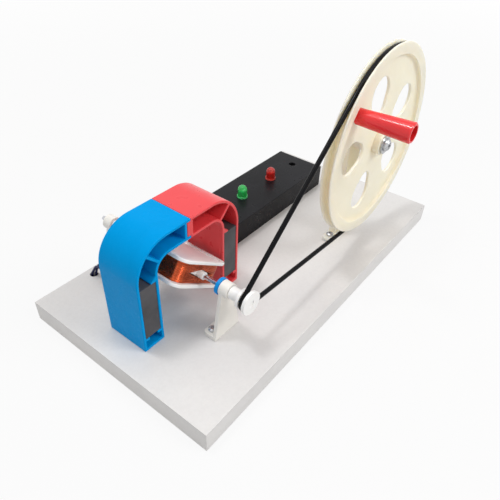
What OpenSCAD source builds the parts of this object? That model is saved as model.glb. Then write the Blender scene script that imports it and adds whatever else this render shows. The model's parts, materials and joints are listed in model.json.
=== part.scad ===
// Hand crank generator for classroom use: a crank wheel drives a coil between
// two magnets through a round belt, and two coloured lamps show the current.
// Millimetres, +Z up. The origin is the middle of the base board's underside,
// +X points to the crank wheel's end and +Y to the light box at the back.

/* [Base board] */
// Length of the base board
base_l = 300; // [280:1:340]
// Width of the base board
base_w = 160; // [156:1:190]
// Thickness of the base board
base_t = 16; // [12:0.5:25]
// Diameter of the two wire holes through the board
wire_hole_d = 6; // [5:0.5:9]
// Depth of the wire groove in the underside
groove_depth = 5; // [3:0.5:8]

/* [Shaft line] */
// Place of the rotor shaft along the board
shaft_x = -85; // [-95:1:-80]
// Height of the rotor shaft above the board
shaft_h = 38; // [36:0.5:46]
// Diameter of the rotor shaft
shaft_d = 3; // [2.5:0.1:4]
// Front end of the rotor shaft
shaft_front = -57.2; // [-57.4:0.1:-56]
// Rear end of the rotor shaft
shaft_rear = 77.5; // [76:0.5:79]

/* [Magnet housing] */
// Width of the arch over both legs
arch_w = 91; // [90:1:104]
// Height of the arch
arch_h = 79; // [74:1:90]
// Depth of the arch, front to back
arch_d = 33.4; // [28:0.2:40]
// Offset of the arch from the shaft line
arch_shift = -0.8; // [-1.5:0.1:1.5]
// Front face of the arch
arch_front = -12; // [-14:0.5:-8]
// Thickness of a leg
arch_leg = 16.6; // [14:0.2:17]
// Thickness of the crown
arch_crown = 14.5; // [9:0.5:14.5]
// Radius of the outer corners
arch_round = 26; // [18:1:30]
// Radius of the inner corners
arch_inner_round = 10; // [6:1:14]
// Wall thickness of the housing
arch_wall = 2; // [1.5:0.1:2.5]
// Length of the tongue that joins the halves
tongue_l = 3; // [2:0.5:6]
// Height of a ferrite magnet
magnet_h = 40; // [34:1:44]
// Depth of a ferrite magnet
magnet_d = 31; // [20:0.5:31]
// Height of a magnet's lower end above the board
magnet_lift = 10; // [8:0.5:12]

/* [Rotor] */
// Width of the bobbin flanges
flange_w = 48; // [40:1:49]
// Depth of the bobbin flanges along the shaft
flange_d = 49; // [44:1:52]
// Thickness of a bobbin flange
flange_t = 2.2; // [2:0.2:3.6]
// Space between the flanges
flange_gap = 14; // [12:0.5:14.5]
// Corner radius of the flanges
flange_round = 7; // [6:1:12]
// Radius of the cylinder that the rotor turns in
swing_r = 25.6; // [24:0.2:26.4]
// Width of the bobbin's post across the shaft
post_w = 22; // [16:1:26]
// Depth of the bobbin's post along the shaft
post_d = 30; // [24:1:34]
// Width of the iron core across the shaft
iron_w = 17; // [12:1:19]
// Depth of the iron core along the shaft
iron_d = 26; // [20:1:27]
// Height of the iron core
iron_h = 13; // [10:0.5:13.5]
// Diameter of the bobbin's round bosses
boss_d = 5.2; // [5:0.2:7]
// Length of a boss beyond the flange
boss_out = 1.2; // [0:0.2:4]
// Turn of the rotor at rest about the shaft
rest_turn = 35; // [0:1:90]

/* [Winding] */
// Diameter of the winding wire as drawn
wire_d = 0.66; // [0.5:0.02:0.68]
// Loops in the outer layer of the winding, an odd number
turns = 9; // [5:2:9]
// Distance of the winding from the flange edges
wind_inset = 2.6; // [2.4:0.1:4]
// Corner radius of the loops
wind_round = 6.5; // [5:0.5:8]
// Half length of the gap that parts the winding at a boss
part_half = 13; // [7:0.5:14]
// Step between wires that pile up beside a boss
pile = 1; // [0.95:0.05:1.2]

/* [Commutator and brushes] */
// Radius of the commutator sleeve
sleeve_r = 3.6; // [3:0.1:3.8]
// Front end of the commutator sleeve
sleeve_front = 43.5; // [40:0.5:45]
// Front end of the copper segments
segment_front = 48; // [47:0.5:49]
// Length of the copper segments
segment_l = 12; // [10:0.5:13]
// Radius of the copper segments
segment_r = 5.2; // [4.8:0.1:5.6]
// Radius of the risers at the segments' front
riser_r = 6; // [5.8:0.1:6.5]
// Gap between the two segments
segment_gap = 0.8; // [0.4:0.1:1.2]
// Thickness of a spring brush
brush_t = 0.6; // [0.4:0.1:1]
// Width of a spring brush
brush_w = 5; // [4:0.5:7]
// Gap between brush and segment
brush_gap = 0.35; // [0.3:0.05:0.5]
// Length of a brush's foot on its block
brush_foot = 11; // [9:0.5:13]
// Length of the brush block across the shaft
block_l = 40; // [38:1:46]
// Depth of the brush block along the shaft
block_d = 11.4; // [9:0.2:11.4]
// Height of the brush block
block_h = 8; // [6:0.5:12]

/* [Bearing brackets] */
// Front face of the front bracket
bracket_front = -40; // [-41:0.5:-39]
// Rear face of the rear bracket
bracket_rear = 68; // [67.5:0.5:69]
// Width of a bracket at its foot
bracket_w = 23.6; // [20:0.2:28]
// Thickness of a bracket's upright
bracket_t = 2.8; // [2:0.2:3]
// Depth of a bracket's foot
foot_d = 11; // [10:0.5:11]
// Thickness of a bracket's foot
foot_t = 3; // [2:0.2:4]
// Corner radius of a bracket's foot
foot_round = 3; // [1:0.5:4]
// Diameter of the front bracket's eye
eye_d = 10.8; // [10:0.2:14]
// Length of the front eye on the outer side of the upright
eye_out = 3.2; // [2:0.2:3.6]
// Diameter of the rear bracket's eye
rear_eye_d = 10.8; // [7.6:0.2:12]
// Length of the rear eye on the outer side of the upright
rear_eye_out = 3.6; // [1:0.2:4]
// Length of the eye on the rotor's side of the upright
eye_in = 0.6; // [0.4:0.1:0.8]
// Outer diameter of a bearing bush
bush_d = 5.4; // [5:0.1:6]
// Diameter of the blue thrust ring
ring_d = 11.6; // [10:0.2:15]
// Thickness of the blue thrust ring
ring_t = 2.4; // [1.5:0.1:4]

/* [Pulley and belt] */
// Plane that the belt runs in
belt_y = -55; // [-56:0.5:-54.5]
// Diameter of the round belt
belt_d = 3.2; // [2.6:0.1:3.4]
// Radius of the belt's centre line on the pulley
pulley_run_r = 5.4; // [5.2:0.1:7]
// Radius of the pulley's front flange
pulley_r = 8; // [7.6:0.1:9]
// Radius of the pulley's rear flange
pulley_rear_r = 6.6; // [6.2:0.1:8]
// Thickness of the pulley
pulley_t = 8; // [7.6:0.2:8.4]
// Diameter of the pulley's hub
hub_d = 8.4; // [7:0.2:13]

/* [Crank wheel] */
// Place of the wheel's axle along the board
wheel_x = 64; // [58:1:70]
// Height of the wheel's axle above the board
wheel_h = 87.5; // [82:0.5:100]
// Radius of the wheel
wheel_r = 69.5; // [66:0.5:74]
// Thickness of the wheel's rim
wheel_t = 8; // [7.6:0.2:8.4]
// Depth of the belt's centre line below the rim's edge
belt_sink = 2.6; // [2:0.1:3]
// Width of the belt groove at the rim's edge
groove_mouth = 5.6; // [4:0.2:5.6]
// Width of the rim's face
rim_w = 8; // [7:0.5:10]
// Thickness of the wheel's web
web_t = 2.2; // [2:0.2:2.6]
// Radius of the fillet between rim and web
rim_fillet = 2.4; // [0.6:0.1:2.4]
// Diameter of the wheel's hub
wheel_hub_d = 17; // [14:0.5:22]
// Length of the hub in front of the rim
hub_out = 2.5; // [1:0.5:5]
// Length of the hub behind the rim
hub_back = 2; // [1:0.5:4]
// Number of holes in the web
hole_count = 5; // [4:1:6]
// Radius from the axle to the large end of a hole
hole_far = 39.5; // [38:0.5:42]
// Radius from the axle to the small end of a hole
hole_near = 31; // [28:0.5:34]
// Radius of a hole's large end
hole_r1 = 12; // [8:0.5:12]
// Radius of a hole's small end
hole_r2 = 8.5; // [5:0.5:9]
// Turn of the wheel at rest about its axle
wheel_turn = -2.5; // [-30:0.5:30]
// Diameter of the wheel's axle bolt
axle_d = 5; // [4:0.1:6]
// Outer diameter of the bush in the hub
wheel_bush_d = 8.4; // [7.6:0.2:10]
// Diameter of the washers on the axle
washer_d = 13.6; // [11:0.2:16]
// Thickness of a washer
washer_t = 1; // [0.6:0.1:1.6]

/* [Wheel stand] */
// Front face of the stand's foot
stand_front = -42.5; // [-43:0.5:-42]
// Depth of the stand's foot
stand_foot_d = 9; // [8:0.5:12]
// Length of the stand's foot
stand_foot_l = 43; // [40:1:50]
// Thickness of the stand's post
stand_t = 6; // [4:0.5:7]
// Width of the post at its foot
stand_w = 20.6; // [14:0.2:20.8]
// Diameter of the stand's boss
stand_boss_d = 18.6; // [14:0.2:20]
// Distance between the stand's two screws
stand_screw_gap = 29.6; // [29.4:0.2:33]

/* [Handle] */
// Radius from the axle to the handle
handle_orbit = 54.3; // [50:0.1:54.3]
// Length of the handle
handle_l = 37.9; // [25:0.1:60]
// Diameter of the handle at the wheel
handle_d1 = 10.6; // [10:0.2:10.6]
// Diameter of the handle at its free end
handle_d2 = 13.4; // [12:0.2:18]
// Wall thickness of the handle
handle_wall = 1.8; // [1.2:0.1:2]
// Thickness of the handle's floor at the wheel
handle_floor = 4; // [2.5:0.5:8]
// Diameter of the handle's pin
pin_d = 3; // [2.5:0.1:3.5]

/* [Light box] */
// Length of the light box
box_l = 140; // [120:1:150]
// Width of the light box
box_w = 47; // [40:1:52]
// Height of the light box
box_h = 19; // [17:0.5:30]
// Middle of the light box along the board
box_x = 47.2; // [44:0.2:60]
// Middle of the light box across the board
box_y = 38; // [34:0.5:42]
// Wall thickness of the light box
box_wall = 2.2; // [1.6:0.1:3]
// Thickness of the light box's top
box_top = 2.5; // [2:0.1:3]
// Distance between the box's two screws
box_screw_gap = 110.4; // [104:0.4:114]
// Distance between the two lamps
lamp_gap = 40.4; // [24:0.4:60]
// Diameter of a lamp
lamp_d = 8; // [5:0.5:10]
// Height of a lamp above the box
lamp_h = 11; // [9:0.5:14]
// Length of the circuit board
board_l = 90; // [80:1:100]
// Width of the circuit board
board_w = 36; // [32:1:37]
// Thickness of the circuit board
board_t = 1.6; // [1:0.2:2]

/* [Leads] */
// Diameter of a lead wire
lead_d = 1.8; // [1.2:0.1:1.9]

/* [Hidden] */
$fn = 64;
slip = 0.02;
run_gap = 0.05;
end_gap = 0.3;
cut = 1;
blend = 0.02;
base_top = base_t;
shaft_z = base_top + shaft_h;
wheel_z = base_top + wheel_h;

arch_half = arch_w / 2;
arch_x = shaft_x + arch_shift;
arch_mid_y = arch_front + arch_d / 2;
arch_back = arch_front + arch_d;
rib_t = 2;
rib_out = 46.5;
rib_turn = 45;
tab_w = 3;
rail_w = 4;
rail_h = 5.5;
rail_tip = 1;
tongue_slack = 0.1;
magnet_slack = 0.1;
leg_mid = arch_half - arch_leg / 2;
magnet_screw_d = 3.4;
magnet_screw_bite = 8;
magnet_head_d = 7;
magnet_boss_d = 8;

flange_in = flange_gap / 2;
flange_out = flange_in + flange_t;
flange_recess = 1.2;
flange_lip = 3;
shaft_bore_r = shaft_d / 2 + slip;
boss_len = flange_d / 2 + boss_out;
post_round = 3;
iron_slack = 0.1;

wind_u = flange_w / 2 - wind_inset - wire_d / 2;
wind_y = flange_d / 2 - wind_inset - wire_d / 2;
skin_gap = 0.3;
wind_pad = wire_d / 2 + skin_gap;
wind_top = flange_in - wire_d / 2 - end_gap;
wind_pitch = 2 * wind_top / turns;
boss_clear = boss_d / 2 + end_gap;
part_low = boss_clear + wire_d / 2;
fin_gap = 0.55;
fin_v = boss_clear - fin_gap;
fin_u = part_half * fin_v / boss_clear;
fin_y = wind_y - 0.8;
tail_u = 2.5;
tail_bend = 2.2;
tail_v = 4.3;

eye_front = bracket_front - eye_out;
rear_eye_in = bracket_rear - bracket_t - eye_in;
sleeve_rear = rear_eye_in - end_gap;
brush_mid = segment_front + segment_l / 2;
brush_x = segment_r + brush_gap;
brush_over = 6;
block_front = bracket_rear - foot_d - end_gap - 0.2 - block_d;
terminal_x = brush_x + brush_foot * 0.62;
ring_front = bracket_front + bracket_t + eye_in + end_gap;

screw_d = 3;
screw_head_d = 5.8;
screw_head_t = 2;
screw_len = 11;
screw_bore_r = screw_d / 2 + run_gap;
foot_screw_gap = bracket_w - 2 * 5;
foot_screw_in = (foot_d + bracket_t) / 2;

groove_clear = 0.3;
flare_r = belt_d / 2 + groove_clear;
wheel_run_r = wheel_r - belt_sink;
wheel_front = belt_y - wheel_t / 2;
wheel_back = belt_y + wheel_t / 2;
web_front = belt_y - web_t / 2;
web_back = belt_y + web_t / 2;
rim_in = wheel_r - rim_w;
hub_front = wheel_front - hub_out;
hub_rear = wheel_back + hub_back;
pulley_front = belt_y - pulley_t / 2;
pulley_back = belt_y + pulley_t / 2;
hub_end = eye_front - end_gap;
dimple_r = 2.2;
dimple_deep = 0.6;

axle_bore_r = axle_d / 2 + run_gap;
axle_head_d = 9.4;
axle_head_t = 2.8;
axle_nut_d = 9.2;
axle_nut_t = 4;
axle_tail = 1.2;
head_back = hub_front - end_gap - washer_t;
stand_boss_front = hub_rear + end_gap;
stand_post_back = stand_front + stand_foot_d - 0.5;
stand_post_front = stand_post_back - stand_t;
cross_w = 1.1;
cross_l = 4.6;
cross_deep = 1.4;

handle_angle = 180 + wheel_turn - 180 / hole_count;
handle_x = wheel_x + handle_orbit * cos(handle_angle);
handle_z = wheel_z + handle_orbit * sin(handle_angle);
handle_near = web_front - end_gap;
pin_head_d = 6;
pin_head_t = 2;
pin_nut_d = 6.4;
pin_nut_t = 2.4;
pin_tail = 0.8;
handle_lip = 0.8;

box_roof = base_top + box_h;
box_round = 1.5;
box_post_d = 9;
well_d = 6.4;
well_floor = 8;
board_z = base_top + 10;
board_post_d = 6;
board_post_x = 38;
board_post_y = 12;
board_screw_d = 2;
board_screw_l = 4;
board_head_d = 3.8;
board_head_t = 1.4;
lamp_rim = 0.6;
lamp_rim_t = 1.4;
leg_d = 0.6;
leg_hole_d = 1.2;
leg_gap = 2.54;
resistor_d = 2.4;
resistor_l = 6.5;
resistor_span = 11;
resistor_lift = 0.3;

wire_hole = [-105, 72.5];
entry_hole = [10, 40];
groove_w = wire_hole_d;
lead_off = 1.2;
lead_z = groove_depth - lead_d / 2 - 0.2;
lead_top = base_top + block_h + lead_d / 2 + 0.2;
block_end = shaft_x - block_l / 2;
foot_end = brush_x + brush_foot;

// Ways of the two leads from the wire hole under the board to the light box
function under(off, x0) = [
    [x0, wire_hole[1] + off, base_top - 2], [x0, wire_hole[1] + off, 7],
    [x0 + 0.5, wire_hole[1] + off * 1.1, 4.4], [x0 + 2.2, wire_hole[1] + off * 1.2, lead_z],
    [entry_hole[0] + off - 4, wire_hole[1] + off * 1.2, lead_z],
    [entry_hole[0] + off - 1.2, wire_hole[1] + off * 1.2 - 0.8, lead_z],
    [entry_hole[0] + off * 1.2, wire_hole[1] + off * 1.2 - 3.6, lead_z],
    [entry_hole[0] + off * 1.2, entry_hole[1] + 3, lead_z],
    [entry_hole[0] + off * 1.2, entry_hole[1] + 0.8, 4.8],
    [entry_hole[0] + off * 1.2, entry_hole[1], 7],
    [entry_hole[0] + off * 1.2, entry_hole[1], board_z]
];

// Lead from the left brush: round the block's end and down the hole
lead_a_route = concat([
    [shaft_x - foot_end - 0.1, brush_mid, lead_top + 0.3],
    [block_end + 2.6, brush_mid + 1.4, lead_top + 1],
    [block_end + 1.9, brush_mid + 4.6, lead_top + 2.4],
    [wire_hole[0] + 2.6, wire_hole[1] - 9, lead_top + 2.9],
    [wire_hole[0] + 2.5, wire_hole[1] - 4.9, lead_top + 0.9],
    [wire_hole[0] + 1.9, wire_hole[1] - 2.3, base_top + 5.5],
    [wire_hole[0] + 1.4, wire_hole[1] - 1.2, base_top + 1.6]
], under(-1, wire_hole[0] + 1.2));

// Lead from the right brush: back over the block in front of the brushes, then beside the other
lead_b_route = concat([
    [shaft_x + foot_end + 0.1, brush_mid, lead_top + 0.3],
    [shaft_x + foot_end + 1.6, brush_mid - 2, lead_top + 0.5],
    [shaft_x + foot_end + 0.9, block_front + 3.2, lead_top + 0.2],
    [shaft_x + foot_end - 2, block_front + 1.6, lead_top],
    [shaft_x, block_front + 1.4, lead_top],
    [block_end + 6, block_front + 1.6, lead_top],
    [block_end + 1.4, block_front + 3.4, lead_top + 0.3],
    [block_end - 1.4, brush_mid + 1, lead_top + 0.8],
    [block_end - 0.6, brush_mid + 5.4, lead_top + 1.7],
    [wire_hole[0], wire_hole[1] - 8.5, lead_top + 1.9],
    [wire_hole[0] + 0.1, wire_hole[1] - 4.1, lead_top - 0.1],
    [wire_hole[0] - 0.6, wire_hole[1] - 1.3, base_top + 4.5],
    [wire_hole[0] - 1.1, wire_hole[1] + 0.5, base_top + 1.2]
], under(1, wire_hole[0] - 1.2));

// Helpers

// Draws an outline in the XZ plane and gives it depth from y0 to y1
module deep(y0, y1) {
    translate([0, y1, 0]) rotate([90, 0, 0]) linear_extrude(y1 - y0) children();
}

// Cylinder along Y between two places
module rod(r, y0, y1) {
    translate([0, y1, 0]) rotate([90, 0, 0]) cylinder(h = y1 - y0, r = r);
}

// Solid of revolution about Y: the outline's x is the radius, its y the place along Y
module turned() {
    rotate([-90, 0, 0]) rotate_extrude() children();
}

module at_shaft() {
    translate([shaft_x, 0, shaft_z]) children();
}

module at_wheel() {
    translate([wheel_x, 0, wheel_z]) children();
}

module at_rotor() {
    at_shaft() rotate([0, rest_turn, 0]) translate([0, arch_mid_y, 0]) children();
}

// Rectangle with round corners, centred
module round_rect(w, d, r) {
    square([w - 2 * r, d], center = true);
    square([w, d - 2 * r], center = true);
    for (sx = [-1, 1], sy = [-1, 1])
        translate([sx * (w / 2 - r), sy * (d / 2 - r)]) circle(r);
}

// Egg outline along +X, from two circles and straight sides that lie a little inside their tangents
module egg(x1, r1, x2, r2) {
    lean = acos((r2 - r1) / (x1 - x2));
    along1 = x1 + (r1 - blend) * cos(lean);
    along2 = x2 + (r2 - blend) * cos(lean);
    half1 = (r1 - blend) * sin(lean);
    half2 = (r2 - blend) * sin(lean);
    translate([x1, 0]) circle(r1);
    translate([x2, 0]) circle(r2);
    polygon([[along2, half2], [along1, half1], [along1, -half1], [along2, -half2]]);
}

// Tube swept along points; the side vector stays square to the given axis
function unit(v) = v / norm(v);
function heading(p, i, loop) =
    let (n = len(p), a = loop ? (i + n - 1) % n : max(i - 1, 0), b = loop ? (i + 1) % n : min(i + 1, n - 1))
    unit(p[b] - p[a]);
function ring(p, i, r, sides, axis, loop) =
    let (t = heading(p, i, loop), s = unit(cross(t, axis)), u = cross(s, t))
    [for (k = [0 : sides - 1]) p[i] + r * (cos(360 * k / sides) * s + sin(360 * k / sides) * u)];
module tube(p, r, sides, axis, loop = false) {
    n = len(p);
    spans = loop ? n : n - 1;
    points = [for (i = [0 : n - 1]) each ring(p, i, r, sides, axis, loop)];
    walls = [
        for (i = [0 : spans - 1], k = [0 : sides - 1])
            let (a = i * sides, b = ((i + 1) % n) * sides, m = (k + 1) % sides)
            each [[a + k, b + m, b + k], [a + k, a + m, b + m]]
    ];
    ends = loop ? [] : [
        for (k = [1 : sides - 2])
            each [[0, k + 1, k], [(n - 1) * sides, (n - 1) * sides + k, (n - 1) * sides + k + 1]]
    ];
    polyhedron(points, concat(walls, ends));
}

// Wood screw standing on z = 0 with its shank below, cross recess in its head
module pan_screw(d, len, head_d, head_t) {
    difference() {
        union() {
            cylinder(h = head_t * 0.55, d = head_d);
            translate([0, 0, head_t * 0.55])
                cylinder(h = head_t * 0.45, d1 = head_d, d2 = head_d * 0.62);
            translate([0, 0, -len]) cylinder(h = len, d = d);
        }
        cross_recess(head_t, head_d / 2);
    }
}

// Cross-shaped cut into the top of a screw head
module cross_recess(top, span) {
    for (turn = [0, 90])
        rotate([0, 0, turn]) translate([-span / 2, -cross_w / 2, top - cross_deep / 2])
            cube([span, cross_w, cross_deep]);
}

// Base board

module base_board() {
    color("gainsboro") difference() {
        translate([-base_l / 2, -base_w / 2, 0]) cube([base_l, base_w, base_t]);
        for (hole = [wire_hole, entry_hole])
            translate([hole[0], hole[1], -cut]) cylinder(h = base_t + 2 * cut, d = wire_hole_d);
        wire_groove();
        for (side = [-1, 1]) translate([arch_x + side * leg_mid, arch_mid_y, 0]) housing_screw_cut();
        at_bracket_screws() translate([0, 0, -screw_len]) cylinder(h = screw_len + foot_t, r = screw_bore_r);
        at_box_screws() translate([0, 0, -screw_len - cut]) cylinder(h = screw_len + cut, r = screw_bore_r);
        at_terminals() translate([0, 0, base_top - 6]) cylinder(h = 6 + cut, r = screw_bore_r);
    }
}

module wire_groove() {
    x0 = wire_hole[0];
    x1 = entry_hole[0];
    translate([x0, wire_hole[1] - groove_w / 2, -cut])
        cube([x1 - x0 + groove_w / 2, groove_w, groove_depth + cut]);
    translate([x1 - groove_w / 2, entry_hole[1], -cut])
        cube([groove_w, wire_hole[1] - entry_hole[1], groove_depth + cut]);
}

module housing_screw_cut() {
    translate([0, 0, -cut]) cylinder(h = base_t + 2 * cut, r = magnet_screw_d / 2 + run_gap);
    translate([0, 0, -cut]) cylinder(h = cut + 0.6, d = magnet_head_d + 0.2);
    translate([0, 0, 0.6])
        cylinder(h = 2, d1 = magnet_head_d + 0.2, d2 = magnet_screw_d + 0.2);
}

// Magnet housing

module arch_outline(half, h, r) {
    translate([-half, 0]) square([2 * half, h - r]);
    translate([r - half, 0]) square([2 * (half - r), h]);
    for (side = [-1, 1]) translate([side * (half - r), h - r]) circle(r);
}

// Right half of the arch, shrunk by a wall on every side when inset is set; it starts at end
module arch_half_outline(inset, end) {
    difference() {
        arch_outline(arch_half - inset, arch_h - inset, arch_round - inset);
        translate([0, -cut])
            arch_outline(arch_half - arch_leg + inset, arch_h - arch_crown + inset + cut,
                arch_inner_round + inset);
        translate([-arch_w, -cut]) square([arch_w + end, arch_h + 2 * cut]);
        translate([-cut, -cut]) square([arch_w, inset + cut]);
    }
}

module housing_ribs() {
    ledge = magnet_lift + magnet_h + magnet_slack;
    bend = [arch_half - arch_leg - arch_inner_round, arch_h - arch_crown - arch_inner_round];
    translate(bend) rotate(rib_turn) translate([0, -rib_t / 2]) square([rib_out, rib_t]);
    translate([arch_half - arch_leg, ledge])
        polygon([[0, 0], [arch_wall + rail_w, 0], [arch_wall + rail_w, rail_tip], [0, rail_h]]);
    for (x = [arch_half - arch_leg, arch_half - arch_wall - tab_w])
        translate([x, magnet_lift - rib_t]) square([arch_wall + tab_w, rib_t]);
}

// One half of the housing on the +X side, with its cavity open to the front from end outwards
module housing_half(end) {
    difference() {
        deep(arch_front, arch_back) arch_half_outline(0, 0);
        deep(arch_front - cut, arch_back - arch_wall) difference() {
            arch_half_outline(arch_wall, end);
            housing_ribs();
        }
        translate([leg_mid, arch_mid_y, -cut])
            cylinder(h = arch_wall + 2 * cut, r = magnet_screw_d / 2 + run_gap);
    }
    difference() {
        translate([leg_mid, arch_mid_y, 0]) cylinder(h = magnet_lift, d = magnet_boss_d);
        translate([leg_mid, arch_mid_y, -cut])
            cylinder(h = magnet_lift + 2 * cut, r = magnet_screw_d / 2 + run_gap);
    }
}

// Tongue at the red half's end, or with slack the room for it between the blue half's plates
module tongue_bar(slack) {
    low = arch_h - arch_crown + arch_wall + tongue_slack - slack;
    high = arch_h - arch_wall - tongue_slack + slack;
    over = slack > 0 ? cut : 0;
    translate([-tongue_l - slack, arch_front - over, low])
        cube([tongue_l + slack + arch_wall / 2, arch_d + 2 * over, high - low]);
}

module at_arch() {
    translate([arch_x, 0, base_top]) children();
}

module magnet_housing_blue() {
    color("dodgerblue") at_arch() difference() {
        mirror([1, 0, 0]) housing_half(tongue_l + tongue_slack + arch_wall);
        tongue_bar(tongue_slack);
    }
}

module magnet_housing_red() {
    color("crimson") at_arch() {
        housing_half(arch_wall);
        tongue_bar(0);
    }
}

module ferrite_magnet(side) {
    wide = arch_leg - 2 * arch_wall - 2 * magnet_slack;
    color("dimgray") at_arch()
        translate([side * leg_mid - wide / 2, arch_back - arch_wall - magnet_d, magnet_lift])
            cube([wide, magnet_d, magnet_h]);
}

module ferrite_magnet_blue() {
    ferrite_magnet(-1);
}

module ferrite_magnet_red() {
    ferrite_magnet(1);
}

module housing_screws() {
    color("silver") for (side = [-1, 1])
        translate([arch_x + side * leg_mid, arch_mid_y, 0.6]) {
            cylinder(h = 1.8, d1 = magnet_head_d, d2 = magnet_screw_d);
            cylinder(h = base_t + magnet_screw_bite - 0.6, d = magnet_screw_d);
        }
}

// Bearing brackets

// Upright, eye and foot of a bracket; its outer face lies on y = 0 and its foot goes to +Y
module bracket(eye, out) {
    half = bracket_w / 2;
    difference() {
        union() {
            deep(0, bracket_t) polygon([
                [-half, 0], [half, 0], [eye / 2 - 0.1, shaft_h], [0.1 - eye / 2, shaft_h]
            ]);
            translate([0, 0, shaft_h]) rod(eye / 2, -out, bracket_t + eye_in);
            linear_extrude(foot_t) difference() {
                translate([0, foot_d / 2 - foot_round])
                    round_rect(bracket_w, foot_d + 2 * foot_round, foot_round);
                translate([-bracket_w, -bracket_w]) square([2 * bracket_w, bracket_w]);
            }
        }
        translate([0, 0, shaft_h]) rod(bush_d / 2 + slip, -out - cut, bracket_t + eye_in + cut);
        for (side = [-1, 1]) translate([side * foot_screw_gap / 2, foot_screw_in, -cut])
            cylinder(h = foot_t + 2 * cut, r = screw_bore_r);
    }
}

module at_front_bracket() {
    translate([shaft_x, bracket_front, base_top]) children();
}

module at_rear_bracket() {
    translate([shaft_x, bracket_rear, base_top]) mirror([0, 1, 0]) children();
}

module front_bracket() {
    color("ivory") at_front_bracket() bracket(eye_d, eye_out);
}

module rear_bracket() {
    color("ivory") at_rear_bracket() bracket(rear_eye_d, rear_eye_out);
}

module bearing_bush(out) {
    color("peru") translate([0, 0, shaft_h]) difference() {
        rod(bush_d / 2, -out, bracket_t + eye_in);
        rod(shaft_d / 2 + run_gap, -out - cut, bracket_t + eye_in + cut);
    }
}

module front_bush() {
    at_front_bracket() bearing_bush(eye_out);
}

module rear_bush() {
    at_rear_bracket() bearing_bush(rear_eye_out);
}

// Places of the screws in the feet of both brackets and of the wheel stand
module at_bracket_screws() {
    for (side = [-1, 1]) {
        translate([shaft_x + side * foot_screw_gap / 2, bracket_front + foot_screw_in, base_top]) children();
        translate([shaft_x + side * foot_screw_gap / 2, bracket_rear - foot_screw_in, base_top]) children();
        translate([wheel_x + side * stand_screw_gap / 2, stand_front + stand_foot_d / 2, base_top])
            children();
    }
}

module bracket_screws() {
    color("silver") at_bracket_screws()
        translate([0, 0, foot_t]) pan_screw(screw_d, screw_len, screw_head_d, screw_head_t);
}

// Rotor

module rotor_shaft() {
    color("silver") at_shaft() rod(shaft_d / 2, shaft_front, shaft_rear);
}

module rotor_bobbin() {
    color("whitesmoke") at_rotor() difference() {
        union() {
            intersection() {
                bobbin_flanges();
                rod(swing_r, -flange_d, flange_d);
            }
            translate([0, 0, -flange_in]) linear_extrude(flange_gap) round_rect(post_w, post_d, post_round);
            rod(boss_d / 2, -boss_len, boss_len);
            deep(-fin_y, fin_y) polygon([[-fin_u, 0], [0, -fin_v], [fin_u, 0], [0, fin_v]]);
        }
        rod(shaft_bore_r, -boss_len - cut, boss_len + cut);
        iron_block(iron_slack);
    }
}

module bobbin_flanges() {
    for (side = [0, 1]) mirror([0, 0, side]) difference() {
        translate([0, 0, flange_in]) linear_extrude(flange_t) round_rect(flange_w, flange_d, flange_round);
        translate([0, 0, flange_out - flange_recess]) linear_extrude(flange_recess + cut)
            round_rect(flange_w - 2 * flange_lip, flange_d - 2 * flange_lip, flange_round - flange_lip);
    }
}

module iron_block(slack) {
    cube([iron_w + 2 * slack, iron_d + 2 * slack, iron_h + 2 * slack], center = true);
}

module rotor_core() {
    color("slategray") at_rotor() difference() {
        iron_block(0);
        rod(shaft_bore_r, -iron_d, iron_d);
    }
}

// Inner turns of the coil as one body, parted around the bosses
module coil_body() {
    w = 2 * (wind_u - wind_pad);
    d = 2 * (wind_y - wind_pad);
    h = flange_gap - 2 * end_gap;
    color("sienna") at_rotor() difference() {
        translate([0, 0, -h / 2]) linear_extrude(h) difference() {
            round_rect(w, d, wind_round - wind_pad);
            round_rect(post_w + 2 * slip, post_d + 2 * slip, post_round);
        }
        deep(-d, d) polygon([[-part_half, 0], [0, -boss_clear], [part_half, 0], [0, boss_clear]]);
    }
}

// Height of a level of the winding, and the same where the wires squeeze past a boss
function level(i) = i * wind_pitch - wind_top;
function squeezed(v, u) =
    let (w = max(0, 1 - abs(u) / part_half))
    sign(v) * (abs(v) + w * part_low * (1 - abs(v) / wind_top));

// One point on the front or back of a loop; every other level piles outwards beside a boss
function across(i, u, side) =
    let (out = (i % 2) * pile * max(0, 1 - pow(u / part_half, 2) / 1.6))
    [u, side * (wind_y + out), squeezed(level(i), u)];
function corner(i, su, sy, a) =
    let (u = wind_u - wind_round + wind_round * cos(a), y = wind_y - wind_round + wind_round * sin(a))
    [su * u, sy * y, level(i)];
function loop_points(i) = concat(
    [for (f = [0, 0.5, 1]) across(i, -f * part_half, 1)],
    [for (a = [75, 45, 15]) corner(i, -1, 1, a)],
    [[-wind_u, 0, level(i)]],
    [for (a = [15, 45, 75]) corner(i, -1, -1, a)],
    [for (f = [-1, -0.5, 0, 0.5, 1]) across(i, f * part_half, -1)],
    [for (a = [75, 45, 15]) corner(i, 1, -1, a)],
    [[wind_u, 0, level(i) + wind_pitch / 2]],
    [for (a = [15, 45, 75]) corner(i + 1, 1, 1, a)],
    [for (f = [1, 0.5]) across(i + 1, f * part_half, 1)]
);
riser_y = segment_front - arch_mid_y;
function tail(v) = [
    [tail_u, riser_y, sign(v) * tail_v], [tail_u, riser_y - tail_bend, sign(v) * tail_v],
    [tail_u, wind_y + pile + 2 * tail_bend, v], [tail_u - 0.3, wind_y + pile + tail_bend, v]
];
function reversed(list) = [for (i = [len(list) - 1 : -1 : 0]) list[i]];
winding_path = concat(
    tail(level(0)),
    [for (i = [0 : turns - 1]) each loop_points(i)],
    reversed(tail(level(turns)))
);

// Least gap of the winding to itself, measured between points that aren't neighbours on the wire
near_points = 6;
function least_gap(p) = min([
    for (i = [0 : len(p) - 1], j = [i + near_points : 1 : len(p) - 1]) norm(p[i] - p[j])
]) - wire_d;

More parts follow.
